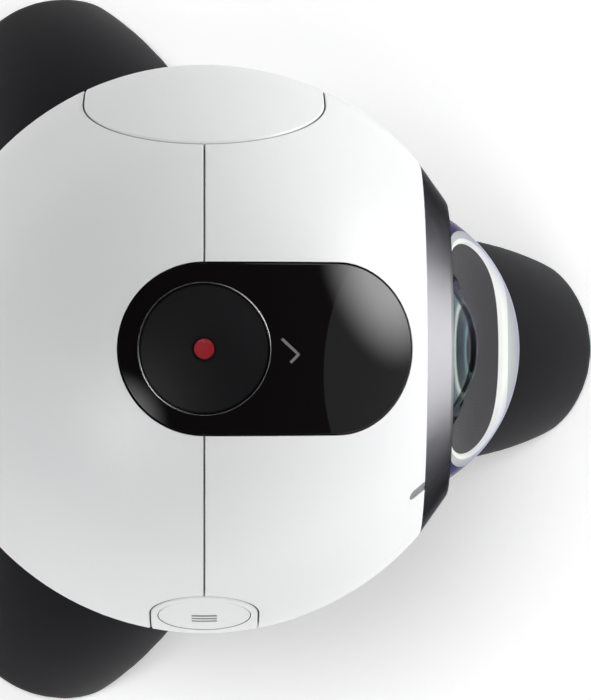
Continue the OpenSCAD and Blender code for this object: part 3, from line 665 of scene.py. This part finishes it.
tree.links.new(path.outputs["Is Camera Ray"], seen.inputs["Factor"])
tree.links.new(shown.outputs["Result"], seen.inputs["A"])
tree.links.new(seen.outputs["Result"], sky.inputs["Strength"])


# Lamps: round softboxes about the ball. The key glows low at the right of the picture and
# the high one lays the shadow. Two cards show in gloss only, one of them in the lens ring.
reach = 0.9


def softbox(name, azimuth, elevation, spread, level, mirrored=False):
    """A disc lamp of that half angle, which lights a surface that faces it to that level."""
    data = bpy.data.lights.new(name, "AREA")
    data.shape = "DISK"
    data.size = 2 * reach * math.tan(math.radians(spread))
    data.energy = math.pi ** 2 * reach ** 2 * level / math.cos(math.radians(spread)) ** 2
    lamp = bpy.data.objects.new(name, data)
    bpy.context.scene.collection.objects.link(lamp)
    a, e = math.radians(azimuth), math.radians(elevation)
    way = Vector((math.cos(e) * math.cos(a), math.cos(e) * math.sin(a), math.sin(e)))
    lamp.location = ball + way * reach
    lamp.rotation_euler = way.to_track_quat("Z", "Y").to_euler()
    lamp.visible_camera = False
    lamp.visible_glossy = mirrored
    return lamp


def feather(lamp, core):
    """Fades a disc lamp from a full core, a share of its radius, to nothing at its edge."""
    lamp.data.use_nodes = True
    tree = lamp.data.node_tree
    place = tree.nodes.new("ShaderNodeNewGeometry")
    away = tree.nodes.new("ShaderNodeVectorMath")
    away.operation = "DISTANCE"
    away.inputs[1].default_value = (0.5, 0.5, 0)
    fall = tree.nodes.new("ShaderNodeMapRange")
    fall.interpolation_type = "SMOOTHSTEP"
    fall.inputs["From Min"].default_value = 0.5 * core
    fall.inputs["From Max"].default_value = 0.5
    fall.inputs["To Min"].default_value = 1.0
    fall.inputs["To Max"].default_value = 0.0
    tree.links.new(place.outputs["Parametric"], away.inputs[0])
    tree.links.new(away.outputs["Value"], fall.inputs["Value"])
    tree.links.new(fall.outputs["Result"], tree.nodes["Emission"].inputs["Strength"])


feather(softbox("key_lamp", 292, 8, 29, 1.62, mirrored=True), 0.15)
left_card = softbox("left_card", 130, 46, 20, 0.50, mirrored=True)
left_card.visible_diffuse = False
feather(left_card, 0.2)
softbox("right_lamp", 266, 8, 34, 0.10, mirrored=True)
softbox("upper_lamp", 330, 16, 18, 0.13, mirrored=True)
softbox("lower_lamp", 202, 8, 22, 0.58)
softbox("far_lamp", 95, 16, 20, 0.25)
softbox("high_lamp", 45, 79, 9, 0.43)

card_level = 8
card = bpy.data.lights.new("front_card", "AREA")
card.shape = "RECTANGLE"
card.size, card.size_y = 0.16, 0.06
card.energy = math.pi * card.size * card.size_y * card_level
card_lamp = bpy.data.objects.new("front_card", card)
bpy.context.scene.collection.objects.link(card_lamp)
card_lamp.location = (0, -0.2, 0.032)
card_lamp.rotation_euler = (math.radians(90), 0, 0)
card_lamp.visible_camera = False
card_lamp.visible_diffuse = False
card_only = bpy.data.collections.new("card_only")
card_only.objects.link(nodes["front_lens_ring"])
card_lamp.light_linking.receiver_collection = card_only


# Camera: straight above the ball, with the top of the picture towards the door.
# It is turned a little towards the front lens, which is on the right of the picture.
above = 0.470
lean, drop = 9.65 * MM, 0.12 * MM
view_h = 74.04 * MM
eye = bpy.data.cameras.new("eye")
eye.lens = eye.sensor_width * above / view_h
eye.clip_start = 0.05
camera = bpy.data.objects.new("eye", eye)
bpy.context.scene.collection.objects.link(camera)
stand_at = ball + Vector((0, 0, above))
forward = (ball + Vector((-drop, -lean, 0)) - stand_at).normalized()
right = forward.cross(Vector((1, 0, 0))).normalized()
up = right.cross(forward)
turn = Matrix((right, up, -forward)).transposed().to_4x4()
camera.matrix_world = Matrix.Translation(stand_at) @ turn
bpy.context.scene.camera = camera
bpy.context.scene.view_settings.view_transform = "Standard"


# Last, the view layer is brought up to date.
bpy.context.view_layer.update()
